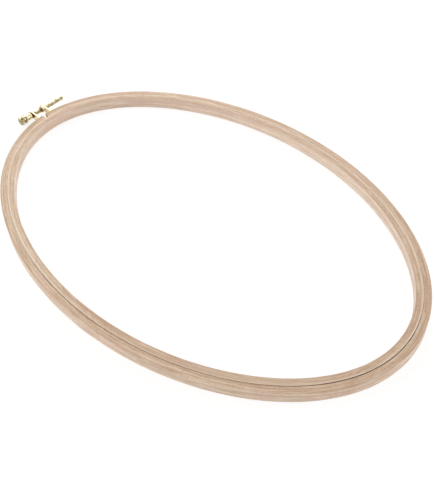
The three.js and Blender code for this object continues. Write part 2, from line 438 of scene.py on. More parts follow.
def mark_gap(piece, index, ceiling):
    """Gives the faces in the mouth of the gap between the rings a material of their own, which
    paints shade there.
    """
    mesh = piece.data
    centres = np.array([face.center for face in mesh.polygons])
    along, across, up = strip_place(centres)
    from_saw = np.abs(along - split_distance(SPLIT_MIDDLE, 0.0))
    hidden = (np.abs(across) < GAP_SHADE_REACH) & (up > GAP_SHADE_FOOT) & (up < ceiling)
    for k in np.flatnonzero(hidden & (from_saw > SPLIT_WIDTH)):
        mesh.polygons[k].material_index = index


def strip_attribute(piece, start):
    """Each corner's place in the strip of wood, for its grain: along from start, out, up."""
    mesh = piece.data
    points = np.empty(len(mesh.vertices) * 3)
    mesh.vertices.foreach_get("co", points)
    along, across, up = strip_place(points.reshape(-1, 3))
    along = np.mod(along - start, ROUND)
    corner_vertex = np.empty(len(mesh.loops), int)
    mesh.loops.foreach_get("vertex_index", corner_vertex)
    value = np.column_stack([along, across, up])[corner_vertex]
    for face in mesh.polygons:
        corners = slice(face.loop_start, face.loop_start + face.loop_total)
        part = value[corners, 0]
        if part.max() - part.min() > ROUND / 2:
            value[corners, 0] = np.where(part < ROUND / 2, part + ROUND, part)
    attribute = mesh.attributes.new("strip", "FLOAT_VECTOR", "CORNER")
    attribute.data.foreach_set("vector", value.astype(np.float32).ravel())


# Nails

def nail_places():
    """How far the two nails of a strap lie from the long axis."""
    last = STRAP_END - NAIL_INSET
    return [last - NAIL_SPACING, last]


def wall_place(y, offset):
    """A matrix that puts what is drawn along +y on the wall, pointing outward."""
    point, outward = wall_at(y, offset)
    across = Vector((outward[1], -outward[0], 0))
    out = Vector((outward[0], outward[1], 0))
    turn = Matrix((across, out, (0, 0, 1))).transposed().to_4x4()
    return Matrix.Translation((point[0], point[1], MID_HEIGHT)) @ turn


def nail_cutter(y, radius, offset):
    """A cutter for a nail's hole, through the wall at an offset from the oval."""
    return cylinder(radius, -NAIL_DEPTH, 2 * SHEET, wall_place(y, offset))


def nail(name, y):
    """A round nail with a domed head, drawn from under its head and set into the wall."""
    shank = NAIL_DEPTH + SHEET + SEAT
    dome_height = NAIL_HEAD_HEIGHT - NAIL_HEAD_EDGE
    dome_radius = NAIL_HEAD_RADIUS - 0.02 * MM
    radii = {
        -shank: 0.04 * MM,
        NAIL_POINT - shank: NAIL_RADIUS,
        -0.12 * MM: NAIL_RADIUS,
        0.0: NAIL_RADIUS + 0.07 * MM,
        0.02 * MM: NAIL_HEAD_RADIUS - 0.06 * MM,
        NAIL_HEAD_EDGE / 2: NAIL_HEAD_RADIUS,
        NAIL_HEAD_EDGE: dome_radius,
    }
    for step in range(1, 9):
        turn = math.radians(90 * step / 9)
        radii[NAIL_HEAD_EDGE + dome_height * math.sin(turn)] = dome_radius * math.cos(turn)
    piece = lathe(name, list(radii), 40, lambda y, angle: np.full(len(angle), radii[y]), 50)
    piece.data.transform(wall_place(y, STRAP_OUTSIDE + SEAT))
    return piece


# Brackets

def bracket_path():
    """Centre line of the +y bracket's sheet, from the lug's tip to the strap's end."""
    middle_y = LUG_NEAR + SHEET / 2
    offset = OUTER_FACE + SEAT + SHEET / 2
    corner, outward = wall_at(middle_y, offset)
    turn = math.acos(outward[1])
    radius = BEND_RADIUS + SHEET / 2
    reach = radius * math.tan(turn / 2)
    start = np.array([corner[0] - reach, middle_y])
    lug = np.linspace([LUG_TIP_X, middle_y], start, 60)
    swing = np.linspace(0, turn, 24)[1:]
    bend = start + radius * np.column_stack([np.sin(swing), 1 - np.cos(swing)])
    heights = np.linspace(bend[-1, 1] + 0.2 * MM, STRAP_END, 60)
    strap = np.array([wall_at(y, offset)[0] for y in heights])
    return np.concatenate([lug, bend, strap]), start[0] - LUG_TIP_X, radius * turn


def blank_outline(columns, reach):
    """Round the flat blank's lug end, from the strip's first row: (along, across)."""
    w = STRIP_HALF
    r = LUG_CORNER
    points = [(reach, q) for q in columns]
    points += [(p, w) for p in np.linspace(reach, r, 9)[1:-1]]
    for step in range(8):
        turn = math.radians(90 * step / 7)
        points.append((r - r * math.sin(turn), w - r + r * math.cos(turn)))
    points += [(0, q) for q in np.linspace(w - r, r - w, 7)[1:-1]]
    for step in range(8):
        turn = math.radians(90 * step / 7)
        points.append((r - r * math.cos(turn), r - w - r * math.sin(turn)))
    points += [(p, -w) for p in np.linspace(r, reach, 9)[1:-1]]
    return np.array(points)


def bracket(name, side, hole, collar):
    """A strip of sheet bent into a lug and a strap: a flat blank, thickened along its path."""
    path, bend_start, bend_length = bracket_path()
    travel = np.concatenate([[0], np.cumsum(np.linalg.norm(np.diff(path, axis=0), axis=1))])
    length = travel[-1]
    heading = np.gradient(path, axis=0)
    heading = np.unwrap(np.arctan2(heading[:, 1], heading[:, 0]))
    middle = SCREW_X - LUG_TIP_X
    reach = middle + LUG_PATCH
    columns = np.linspace(-1, 1, 13) * STRIP_HALF
    edge = blank_outline(columns, reach)
    bearing = np.arctan2(edge[:, 1], edge[:, 0] - middle)
    circle = np.column_stack([np.cos(bearing), np.sin(bearing)])

    # Rows from the hole to the blank's edge: radius, share of the way to the edge, height
    plain = [(hole, share, 0) for share in (0, 0.05, 0.12, 0.22, 0.4, 0.7, 1)]
    wall = min(COLLAR_WALL, STRIP_HALF - hole - 0.12 * MM)
    rim = hole + wall
    drawn = [(hole, 0, collar), (hole + wall / 2, 0, collar), (rim, 0, collar)]
    drawn += [(rim, 0, 0.2 * MM), (rim, 0.15, 0), (rim, 0.5, 0), (rim, 1, 0)]
    inner_rows = drawn if collar else plain

    bend = np.linspace(bend_start, bend_start + bend_length, 9)
    first = np.linspace(reach, bend_start, 6)[1:-1]
    last = np.linspace(bend[-1], length - STRAP_CORNER, 9)[1:-1]
    corner = length - STRAP_CORNER * (1 - np.sin(np.radians(np.linspace(0, 90, 8))))
    stations = np.concatenate([first, bend, last, corner])
    past = np.clip(stations - (length - STRAP_CORNER), 0, None)
    half = STRIP_HALF - STRAP_CORNER + np.sqrt(np.clip(STRAP_CORNER**2 - past**2, 0, None))

    def surface(rows, sign):
        """One side of the sheet, bent along the path."""
        flat = []
        for radius, share, height in rows:
            ring = np.array([middle, 0]) + circle * radius
            place = ring + (edge - ring) * share
            rise = np.full(len(place), sign * (SHEET / 2 + height))
            flat.append(np.column_stack([place, rise]))
        for p, h in zip(stations, half):
            across = columns / STRIP_HALF * h
            flat.append(np.column_stack([np.full(len(across), p), across,
                                         np.full(len(across), sign * SHEET / 2)]))
        flat = np.concatenate(flat)
        x = np.interp(flat[:, 0], travel, path[:, 0])
        y = np.interp(flat[:, 0], travel, path[:, 1])
        turn = np.interp(flat[:, 0], travel, heading)
        x = x - np.sin(turn) * flat[:, 2]
        y = y + np.cos(turn) * flat[:, 2]
        return np.column_stack([x, side * y, MID_HEIGHT + flat[:, 1]])

    count = len(edge)
    faces = quads(len(plain), count, wrap_columns=True)
    outline = (len(plain) - 1) * count
    strip = len(plain) * count
    wide = len(columns)
    link = [outline + j for j in range(wide)]
    after = [strip + j for j in range(wide)]
    faces += [[link[j], link[j + 1], after[j + 1], after[j]] for j in range(wide - 1)]
    faces += quads(len(stations), wide, first=strip)
    far = surface(plain, 1)
    near = surface(inner_rows, -1)

    # An edge that one face uses is on the outline, and gets a wall to the other side.
    uses = {}
    for face in faces:
        for a, b in zip(face, face[1:] + face[:1]):
            uses.setdefault((min(a, b), max(a, b)), []).append((a, b))
    total = len(far)
    sides = [[a, b, b + total, a + total] for found in uses.values() if len(found) == 1
             for a, b in found]
    back = [[v + total for v in face[::-1]] for face in faces]
    piece = mesh_object(name, np.concatenate([far, near]), faces + back + sides)
    cut(piece, [nail_cutter(side * y, NAIL_RADIUS + SEAT, STRAP_OUTSIDE) for y in nail_places()])
    modifier = piece.modifiers.new("edges", "BEVEL")
    modifier.width = SHEET_EDGE
    modifier.segments = 3
    modifier.limit_method = "ANGLE"
    modifier.angle_limit = math.radians(50)
    modifier.harden_normals = True
    freeze(piece)
    piece.data.shade_smooth()
    return piece


# Thumb screw

def thread_radius(y, angle):
    """The right-hand thread's surface, fading out at the shoulder and the tip."""
    phase = np.mod((y - SHOULDER_Y) / THREAD_PITCH - angle / (2 * math.pi), 1)
    ridge = np.clip((np.abs(phase - 0.5) * 2 - THREAD_CREST) / THREAD_FLANK, 0, 1)
    start = np.clip((y - SHOULDER_Y - THREAD_START) / THREAD_PITCH, 0, 1)
    from_tip = (screw_high.y - y) / TIP_LENGTH
    cone = 1 - TIP_TAPER * np.clip(1 - from_tip, 0, 1) ** 2
    thread = SHANK_RADIUS - THREAD_DEPTH * (1 - ridge) * start
    return np.minimum(thread, SHANK_RADIUS * cone)


def head_radius(y, angle):
    """Neck, then the knurled head, drawn from the head's end to the shoulder."""
    if y > NECK_END:
        eased = np.clip(1 - (SHOULDER_Y - y) / TURNED_EDGE, 0, 1)
        return np.full(len(angle), NECK_RADIUS - TURNED_EDGE * eased**2)
    rim = HEAD_RADIUS - HEAD_RIM
    if y <= HEAD_END + HEAD_CROWN:
        share = np.clip((y - HEAD_END) / HEAD_CROWN, 0, 1)
        return np.full(len(angle), rim * (0.3 + 0.7 * share**0.5))
    near = np.clip(min(y - HEAD_END - HEAD_CROWN, NECK_END - y) / HEAD_RIM, 0, 1)
    body = rim + HEAD_RIM * math.sqrt(1 - (1 - near) ** 2)
    phase = np.mod(angle / (2 * math.pi) * KNURL_COUNT, 1)
    tooth = np.clip((0.5 - np.abs(phase - 0.5)) / KNURL_FLANK, 0, 1)
    groove = HEAD_RADIUS - KNURL_DEPTH * (1 - tooth)
    return np.minimum(body, groove)


def thumb_screw():
    """Head and neck, then the threaded shank, which is drawn with fewer columns."""
    wide, narrow = KNURL_COUNT * 6, KNURL_COUNT * 2
    body = HEAD_END + HEAD_CROWN
    heights = list(HEAD_END + HEAD_CROWN * np.array([0, 0.1, 0.25, 0.5, 0.8]))
    heights += list(body + HEAD_RIM * (1 - np.cos(np.radians(np.linspace(1, 90, 7)))))
    heights += list(np.linspace(body + HEAD_RIM, NECK_END - HEAD_RIM, 14)[1:])
    heights += list(NECK_END - HEAD_RIM * (1 - np.sin(np.radians(np.linspace(0, 89, 7)[1:]))))
    heights += list(np.linspace(NECK_END + 1e-7, SHOULDER_Y - 0.15 * MM, 8))
    heights += [SHOULDER_Y - 0.1 * MM, SHOULDER_Y - 0.04 * MM, SHOULDER_Y]
    turn = np.arange(wide) * 2 * math.pi / wide
    points = []
    groove = []
    for y in heights:
        radius = head_radius(y, turn)
        points.append(circle_at(y, turn, radius))
        depth = (HEAD_RADIUS - radius) / KNURL_DEPTH if y < NECK_END else np.zeros(wide)
        groove.append(np.clip(depth, 0, 1))
    faces = quads(len(heights), wide, wrap_columns=True)
    faces.append(list(range(wide)))

    shank_rows = int(SHANK_LENGTH / THREAD_PITCH * 9)
    shank = np.linspace(SHOULDER_Y, screw_high.y, shank_rows)
    thin = np.arange(narrow) * 2 * math.pi / narrow
    first = len(heights) * wide
    for y in shank:
        radius = thread_radius(y, thin)
        points.append(circle_at(y, thin, radius))
        groove.append(np.clip((SHANK_RADIUS - radius) / THREAD_DEPTH, 0, 1))
    faces += quads(shank_rows, narrow, wrap_columns=True, first=first)
    last = first + (shank_rows - 1) * narrow
    faces.append(list(range(last, last + narrow)))
    edge = first - wide
    each = wide // narrow
    for j in range(narrow):
        over = [edge + (each * j + k) % wide for k in range(each, -1, -1)]
        faces.append([first + j, first + (j + 1) % narrow] + over)
    points = np.concatenate(points)
    points += np.array([SCREW_X, 0, MID_HEIGHT])
    piece = mesh_object("thumb_screw_brass", points, faces, 50)
    attribute = piece.data.attributes.new("groove", "FLOAT", "POINT")
    attribute.data.foreach_set("value", np.concatenate(groove).astype(np.float32))
    return piece


# Materials

class Shader:
    """The nodes of a material or a world. Most calls add one node and give its output."""

    def __init__(self, owner):
        self.owner = owner
        self.owner.use_nodes = True
        self.tree = self.owner.node_tree
        self.tree.nodes.clear()

    def put(self, socket, value):
        """Links another node's output to the socket, or sets the socket's own value."""
        if isinstance(value, bpy.types.NodeSocket):
            self.tree.links.new(value, socket)
        else:
            socket.default_value = value

    def add(self, kind, inputs=None, **settings):
        """A new node with its inputs and settings. Gives the node itself."""
        node = self.tree.nodes.new(kind)
        for name, value in settings.items():
            setattr(node, name, value)
        for name, value in (inputs or {}).items():
            self.put(node.inputs[name], value)
        return node

    def math(self, operation, first, second=0.0, third=0.0):
        node = self.add("ShaderNodeMath", {0: first, 1: second, 2: third}, operation=operation)
        return node.outputs[0]

    def attribute(self, name, output):
        return self.add("ShaderNodeAttribute", attribute_name=name).outputs[output]

    def object_place(self):
        return self.add("ShaderNodeTexCoord").outputs["Object"]

    def parts(self, vector):
        return self.add("ShaderNodeSeparateXYZ", {0: vector}).outputs

    def stretch(self, vector, along, across, up, shift):
        """The vector scaled to a texture's size, and moved to a part of its own."""
        node = self.add(
            "ShaderNodeVectorMath",
            {0: vector, 1: (along, across, up), 2: (shift, shift * 0.7, shift * 1.3)},
            operation="MULTIPLY_ADD",
        )
        return node.outputs[0]

    def noise(self, vector, detail, roughness, distortion=0.0):
        inputs = {"Vector": vector, "Scale": 1.0, "Detail": detail, "Roughness": roughness,
                  "Distortion": distortion}
        return self.add("ShaderNodeTexNoise", inputs).outputs["Fac"]

    def cells(self, vector):
        """Distance from the nearest cell's middle, and that cell's own random value."""
        node = self.add("ShaderNodeTexVoronoi", {"Vector": vector, "Scale": 1.0})
        apart = self.add("ShaderNodeSeparateColor", {0: node.outputs["Color"]})
        return node.outputs["Distance"], apart.outputs[0]

    def ease(self, value, low, high, to_low=0.0, to_high=1.0):
        """A smooth step: to_low where the value is low, to_high where it is high."""
        node = self.add(
            "ShaderNodeMapRange",
            {0: value, 1: low, 2: high, 3: to_low, 4: to_high},
            interpolation_type="SMOOTHSTEP",
        )
        return node.outputs[0]

    def mix(self, share, first, second, blend="MIX"):
        node = self.add("ShaderNodeMix", data_type="RGBA", blend_type=blend)
        self.put(node.inputs[0], share)
        self.put(node.inputs[6], first)
        self.put(node.inputs[7], second)
        return node.outputs[2]

    def bump(self, height, distance, strength):
        inputs = {"Height": height, "Strength": strength, "Distance": distance}
        return self.add("ShaderNodeBump", inputs).outputs[0]

    def surface(self, shader):
        """Ends the material with this shader, and gives the material."""
        self.add("ShaderNodeOutputMaterial", {"Surface": shader})
        return self.owner

    def principled(self, inputs):
        """Ends the material with a Principled shader of these inputs, and gives it."""
        return self.surface(self.add("ShaderNodeBsdfPrincipled", inputs).outputs[0])


def new_shader(name):
    return Shader(bpy.data.materials.new(name))


def tone(red, green, blue):
    """An opaque colour, in linear light."""
    return (red, green, blue, 1.0)


# Colours

BEECH_PINK = tone(0.72, 0.49, 0.355)
BEECH_YELLOW = tone(0.73, 0.575, 0.39)
BEECH_STREAK = tone(0.50, 0.32, 0.205)
BEECH_PALE = tone(0.86, 0.71, 0.55)
BEECH_FLECK = tone(0.33, 0.185, 0.10)
# Painted shade on arrises that turn away from the camera
BEECH_ARRIS_SHADE = tone(0.42, 0.345, 0.26)
BEECH_FADED = tone(0.84, 0.73, 0.65)
# Painted highlight on the inner ring's rim
BEECH_RIM_HIGHLIGHT = tone(0.88, 0.74, 0.58)
STRAP_SIDE_BROWN = tone(0.42, 0.30, 0.11)
# Painted shade in the mouth of the gap between the rings
GAP_SHADE_DARK = tone(0.10, 0.035, 0.012)
GAP_SHADE_PALE = tone(0.17, 0.07, 0.028)
GLUE = tone(0.24, 0.13, 0.065)
SAWN_PALE = tone(0.58, 0.42, 0.29)
SAWN_DARK = tone(0.47, 0.33, 0.22)
SAWN_RAY = tone(0.68, 0.53, 0.38)
SAWN_PORE = tone(0.22, 0.13, 0.08)
SHEET_BRIGHT = tone(0.90, 0.76, 0.55)
SHEET_DULL = tone(0.66, 0.52, 0.31)
TURNED_BRIGHT = tone(0.84, 0.77, 0.56)
TURNED_DULL = tone(0.50, 0.44, 0.25)
NAIL_BRIGHT = tone(0.86, 0.72, 0.48)
NAIL_DULL = tone(0.60, 0.46, 0.25)
# Dirt, and painted shade on the brackets and the screw
BRASS_DIRT_AND_SHADE = tone(0.13, 0.068, 0.018)
FLOOR_PALE = tone(0.82, 0.81, 0.80)
FLOOR_SHADED = tone(0.34, 0.34, 0.34)
WHITE = tone(1, 1, 1)

# The way, on the level, towards the camera: the painted shade and highlight vary along it
CAMERA_SIDE = (0.69, -0.72, 0.0)

# The inner ring's wood is measured from a little before its glue joint, which slants by
# this much along the strip for each unit across it.
JOINT_LEAD = 20 * MM
JOINT_SLOPE = 1.6

# Where the inner ring's top is darker: from, to and how much, fading at both ends
DARKER_STRETCHES = ((110 * MM, 180 * MM, 0.36), (335 * MM, 405 * MM, 0.26))
STRETCH_FADE = 30 * MM


def grain(s, place, shift):
    """Beech along a bent strip: its colour, how high its fibres stand, and its fine streaks."""
    patches = s.noise(s.stretch(place, 40, 160, 150, shift), 3, 0.55)
    colour = s.mix(s.ease(patches, 0.40, 0.60), BEECH_PINK, BEECH_YELLOW)
    mottle = s.noise(s.stretch(place, 130, 560, 520, shift + 9), 2, 0.55)
    colour = s.mix(s.ease(mottle, 0.52, 0.68, 0, 0.45), colour, BEECH_STREAK)
    colour = s.mix(s.ease(mottle, 0.46, 0.32, 0, 0.45), colour, BEECH_PALE)
    layers = s.noise(s.stretch(place, 8, 620, 560, shift + 12), 2, 0.5, 0.1)
    colour = s.mix(s.ease(layers, 0.51, 0.62, 0, 0.65), colour, BEECH_STREAK)
    colour = s.mix(s.ease(layers, 0.47, 0.36, 0, 0.60), colour, BEECH_PALE)
    streaks = s.noise(s.stretch(place, 55, 1250, 1150, shift + 3), 3, 0.6, 0.1)
    colour = s.mix(s.ease(streaks, 0.51, 0.64, 0, 0.75), colour, BEECH_STREAK)
    colour = s.mix(s.ease(streaks, 0.46, 0.33, 0, 0.65), colour, BEECH_PALE)
    fibre = s.noise(s.stretch(place, 190, 7000, 6500, shift + 5), 3, 0.6)
    colour = s.mix(s.ease(fibre, 0.35, 0.75, 0, 0.30), colour, BEECH_STREAK)

    # Dark spindles of ray tissue, and pores that gather in some growth layers.
    away, which = s.cells(s.stretch(place, 330, 2300, 2300, shift + 1))
    chosen = s.math("GREATER_THAN", which, 0.45)
    spindle = s.math("MULTIPLY", s.ease(away, 0.32, 0.12), chosen)
    colour = s.mix(s.math("MULTIPLY", spindle, 0.60), colour, BEECH_FLECK)
    away, which = s.cells(s.stretch(place, 420, 1250, 1250, shift + 7))
    pored = s.noise(s.stretch(place, 14, 420, 420, shift + 15), 2, 0.5)
    blot = s.math("MULTIPLY", s.ease(away, 0.42, 0.15), s.ease(pored, 0.46, 0.60, 0.25, 1.0))
    colour = s.mix(s.math("MULTIPLY", blot, 0.55), colour, BEECH_FLECK)

    height = s.math("MULTIPLY", fibre, 0.6)
    height = s.math("SUBTRACT", height, s.math("MULTIPLY", spindle, 0.5))
    height = s.math("ADD", height, s.math("MULTIPLY", streaks, 0.5))
    return colour, height, streaks


def beech(name, inside, outside, top, shift, faded, shade_near, shade_far, closed, shaded_gap=False):
    """Bent beech, its grain along the strip. The ring's faces are at inside, outside and top.

    Its arrises carry painted shade, by the near share on the long side that faces the camera
    and by the far share opposite. A closed ring is glued shut at a slanting joint. Wood made
    for the gap has painted shade at the gap's mouth.
    """
    s = new_shader(name)
    strip = s.attribute("strip", "Vector")
    along, across, up = s.parts(strip)
    from_middle = s.math("ABSOLUTE", across)
    place = s.object_place()
    toward_camera = s.add("ShaderNodeVectorMath", {0: place, 1: CAMERA_SIDE}, operation="DOT_PRODUCT")
    toward_camera = toward_camera.outputs["Value"]
    wood = strip
    if closed:
        # The wood starts anew beyond a slanting glue line.
        start = JOINT_LEAD - (inside + outside) / 2 * JOINT_SLOPE
        past = s.math("SUBTRACT", along, s.math("MULTIPLY_ADD", across, JOINT_SLOPE, start))
        carried = s.math("MULTIPLY_ADD", s.math("LESS_THAN", past, 0.0), ROUND, along)
        wood = s.add("ShaderNodeCombineXYZ", {0: carried, 1: across, 2: up}).outputs[0]
    colour, height, streaks = grain(s, wood, shift)

    # Distances from the ring's faces say which face this is, and how near its arris.
    from_side = s.math("MINIMUM", s.math("SUBTRACT", across, inside),
                       s.math("SUBTRACT", outside, across))
    from_end = s.math("MINIMUM", up, s.math("SUBTRACT", top, up))
    edge_grain = s.math("LESS_THAN", from_end, from_side)
    broad = s.mix(faded, colour, BEECH_FADED)
    colour = s.mix(edge_grain, broad, s.mix(0.22, colour, BEECH_STREAK))
    # Painted shade along the arrises that turn away from the camera, broken by noise, kept off the
    # gap.
    near_arris = s.ease(s.math("MAXIMUM", from_side, from_end), 0.60 * MM, 0.15 * MM)
    arris_noise = s.noise(s.stretch(wood, 60, 400, 400, shift + 2), 3, 0.6)
    level = s.ease(toward_camera, -20 * MM, 40 * MM, shade_far, shade_near)
    arris_shade = s.math("MULTIPLY", near_arris, s.ease(arris_noise, 0.3, 0.7, 0.35, 1.0))
    arris_shade = s.math("MULTIPLY", arris_shade, level)
    arris_shade = s.math("MULTIPLY", arris_shade, s.ease(from_middle, 0.7 * MM, 1.2 * MM))
    colour = s.mix(arris_shade, colour, BEECH_ARRIS_SHADE)
    if closed:
        # Two stretches of the ring's top are of darker wood.
        for first, last, share in DARKER_STRETCHES:
            begun = s.ease(along, first - STRETCH_FADE, first, 0, share)
            dark = s.math("MULTIPLY", begun, s.ease(along, last + STRETCH_FADE, last))
            colour = s.mix(s.math("MULTIPLY", dark, edge_grain), colour, BEECH_STREAK)
        # A painted highlight on the arris that the outer ring slides over, stronger away from the
        # camera.
        rim_highlight_share = s.ease(toward_camera, 20 * MM, 100 * MM, 0.55, 0.25)
        rim = s.math("MULTIPLY", s.ease(from_middle, 1.5 * MM, 0.8 * MM), rim_highlight_share)
        rim = s.math("MULTIPLY", rim, s.ease(up, top - 0.7 * MM, top - 0.4 * MM))
        colour = s.mix(rim, colour, BEECH_RIM_HIGHLIGHT)
        line = s.ease(s.math("ABSOLUTE", past), 0.26 * MM, 0.06 * MM)
        colour = s.mix(s.math("MULTIPLY", line, 0.85), colour, GLUE)
        height = s.math("SUBTRACT", height, line)
    else:
        # The wood by the straps is darker and browner near its outer face, most on its top and
        # bottom.
        from_saw = s.math("MINIMUM", along, s.math("SUBTRACT", ROUND, along))
        by_straps = s.ease(from_saw, STRAP_END + 8 * MM, STRAP_END - 2 * MM)
        edge = s.ease(across, outside - 2.4 * MM, outside - 1.2 * MM)
        edge = s.math("MULTIPLY", edge, s.math("MULTIPLY_ADD", edge_grain, 0.45, 0.40))
        colour = s.mix(s.math("MULTIPLY", by_straps, edge), colour, STRAP_SIDE_BROWN)

    normal = s.bump(height, 0.06 * MM, 0.8)
    rough = s.ease(streaks, 0.3, 0.7, 0.42, 0.58)
    inputs = {"Specular IOR Level": 0.5, "Sheen Weight": 0.22, "Sheen Roughness": 0.45}
    if shaded_gap:
        # Painted shade at the mouth of the gap thins out further down, and towards the saw cut.
        shade_noise = s.noise(s.stretch(strip, 45, 900, 900, 21), 3, 0.6)
        wavy = s.math("MULTIPLY_ADD", s.math("SUBTRACT", shade_noise, 0.5), 1.2 * MM, up)
        gap_shade_share = s.ease(wavy, GAP_SHADE_FOOT + 0.4 * MM, GAP_SHADE_FULL)
        x, y = s.parts(place)[:2]
        from_saw = s.math("ABSOLUTE", s.math("SUBTRACT", y, SPLIT_MIDDLE))
        clear = s.ease(from_saw, SPLIT_WIDTH, 4 * SPLIT_WIDTH)
        clear = s.math("MAXIMUM", clear, s.math("GREATER_THAN", x, CENTRE_X))
        gap_shade_share = s.math("MULTIPLY", gap_shade_share, clear)
        darkening = s.mix(s.ease(shade_noise, 0.35, 0.7), GAP_SHADE_DARK, GAP_SHADE_PALE)
        colour = s.mix(gap_shade_share, colour, darkening)
        rough = s.math("MULTIPLY_ADD", gap_shade_share, 0.35, rough)
        inputs = {"Specular IOR Level": 0.12}
    inputs.update({"Base Color": colour, "Roughness": rough, "Normal": normal})
    return s.principled(inputs)


def sawn_beech():
    """End grain on the two sawn faces: growth layers, rays and open pores."""
    s = new_shader("sawn_beech")
    strip = s.attribute("strip", "Vector")
    layers = s.noise(s.stretch(strip, 0, 520, 130, 4), 3, 0.55, 0.6)
    colour = s.mix(s.ease(layers, 0.4, 0.6), SAWN_PALE, SAWN_DARK)
    rays = s.noise(s.stretch(strip, 0, 900, 4200, 6), 2, 0.5)
    colour = s.mix(s.ease(rays, 0.56, 0.7, 0, 0.6), colour, SAWN_RAY)
    pores = s.ease(s.cells(s.stretch(strip, 0, 9000, 9000, 2))[0], 0.34, 0.16)
    colour = s.mix(s.math("MULTIPLY", pores, 0.45), colour, SAWN_PORE)
    normal = s.bump(s.math("SUBTRACT", rays, pores), 0.05 * MM, 0.9)
    rough = s.ease(layers, 0.3, 0.7, 0.7, 0.85)
    return s.principled({"Base Color": colour, "Roughness": rough, "Normal": normal})


def brass(name, bright, dull, rough, brush, darkening):
    """Bare brass: brushed marks, dull patches, and darkening where the given function puts it: dirt
    on the nails and the screw, painted shade on the brackets and by the screw's lugs.
    """
    s = new_shader(name)
    place = s.object_place()
    clouds = s.noise(s.stretch(place, 380, 380, 380, 2), 3, 0.55)
    spots = s.noise(s.stretch(place, 1500, 1500, 1500, 5), 3, 0.65)
    marks = s.noise(s.stretch(place, *brush), 2, 0.6)
    colour = s.mix(s.ease(clouds, 0.42, 0.62, 0, 0.9), bright, dull)
    colour = s.mix(s.ease(spots, 0.56, 0.74, 0, 0.55), colour, dull)
    colour = s.mix(s.ease(marks, 0.5, 0.8, 0, 0.3), colour, dull)
    # Darkened by the given function's dirt and painted shade
    dirt_and_shade_share = s.math("MULTIPLY", darkening(s, place), s.ease(spots, 0.30, 0.62, 0.70, 1.0))
    colour = s.mix(dirt_and_shade_share, colour, BRASS_DIRT_AND_SHADE)
    polish = s.ease(s.math("ADD", clouds, s.math("MULTIPLY", marks, 0.5)), 0.5, 1.0,
                    rough * 0.75, rough * 1.5)
    roughness = s.math("ADD", polish, s.math("MULTIPLY", dirt_and_shade_share, 0.35))
    height = s.math("ADD", marks, s.math("MULTIPLY", spots, 0.5))
    normal = s.bump(height, 0.012 * MM, 0.7)
    inputs = {"Base Color": colour, "Metallic": 1.0, "Roughness": roughness, "Normal": normal}
    return s.principled(inputs)


def lug_shade(s, place):
    """Painted shade round the screw holes, and in the bends against the wood."""
    x, _, z = s.parts(place)
    across = s.math("SUBTRACT", x, SCREW_X)
    above = s.math("SUBTRACT", z, MID_HEIGHT)
    squares = s.math("ADD", s.math("MULTIPLY", across, across), s.math("MULTIPLY", above, above))
    from_axis = s.math("SQRT", squares)
    round_hole = s.ease(from_axis, 2.5 * MM, 1.8 * MM, 0, 0.95)
    beside_wood = s.ease(x, OUTER_END_X - 2.2 * MM, OUTER_END_X - 0.8 * MM, 0, 0.35)
    return s.math("MAXIMUM", round_hole, beside_wood)


def screw_dirt_and_shade(s, place):
    """Dirt in the knurl and the thread, dark blots on the head, and painted shade where the screw
    runs in its two lugs.
    """
    depth = s.attribute("groove", "Fac")
    along = s.parts(place)[1]
    in_groove = s.ease(depth, 0.25, 1.0, 0, 0.60)
    # Painted shade on the screw at its shoulder by the plain lug, and where it runs into the tapped
    # lug
    shoulder = s.ease(s.math("ABSOLUTE", s.math("SUBTRACT", along, SHOULDER_Y)), 1.3 * MM, 0.3 * MM)
    tapped = s.math("ABSOLUTE", s.math("SUBTRACT", along, LUG_NEAR - COLLAR_LENGTH))
    tapped_lug_shade = s.ease(tapped, 3.0 * MM, 0.8 * MM, 0, 0.8)
    on_head = s.ease(along, NECK_END + 0.6 * MM, NECK_END)
    blots = s.noise(s.stretch(place, 620, 620, 620, 12), 2, 0.5)
    head_blots = s.math("MULTIPLY", on_head, s.ease(blots, 0.50, 0.60, 0, 0.75))
    lug_contact_shade = s.math("MAXIMUM", shoulder, tapped_lug_shade)
    return s.math("MAXIMUM", s.math("MAXIMUM", in_groove, head_blots), lug_contact_shade)


def nail_dirt(s, place):
    """Scattered dark specks."""
    specks = s.noise(s.stretch(place, 1900, 1900, 1900, 4), 2, 0.5)
    return s.ease(specks, 0.60, 0.72, 0, 0.6)


# The hoop

def wear(piece, *materials):
    """Gives a piece its materials, and keeps which face has which."""
    marks = [face.material_index for face in piece.data.polygons]
    piece.data.materials.clear()
    for material in materials:
        piece.data.materials.append(material)
    piece.data.polygons.foreach_set("material_index", marks)


OUTER_BEECH = {
    "inside": RING_GAP / 2,
    "outside": OUTER_FACE,
    "top": OUTER_TOP,
    "shift": 11.0,
    "faded": 0.12,
    "shade_near": 0.2,
    "shade_far": 0.7,
    "closed": False,
}
INNER_BEECH = {
    "inside": INNER_FACE,
    "outside": -RING_GAP / 2,
    "top": INNER_TOP,
    "shift": 37.0,
    "faded": 0.32,
    "shade_near": 0.85,
    "shade_far": 0.3,
    "closed": True,
}
outer_wood = beech("outer_beech", **OUTER_BEECH)
outer_gap = beech("outer_gap_beech", **OUTER_BEECH, shaded_gap=True)
inner_wood = beech("inner_beech", **INNER_BEECH)
inner_gap = beech("inner_gap_beech", **INNER_BEECH, shaded_gap=True)
end_wood = sawn_beech()
sheet_brass = brass("sheet_brass", SHEET_BRIGHT, SHEET_DULL, 0.24,
                    (900, 900, 16000, 1), lug_shade)
turned_brass = brass("turned_brass", TURNED_BRIGHT, TURNED_DULL, 0.24,
                     (700, 14000, 700, 3), screw_dirt_and_shade)
nail_brass = brass("nail_brass", NAIL_BRIGHT, NAIL_DULL, 0.3,
                   (2500, 2500, 2500, 8), nail_dirt)

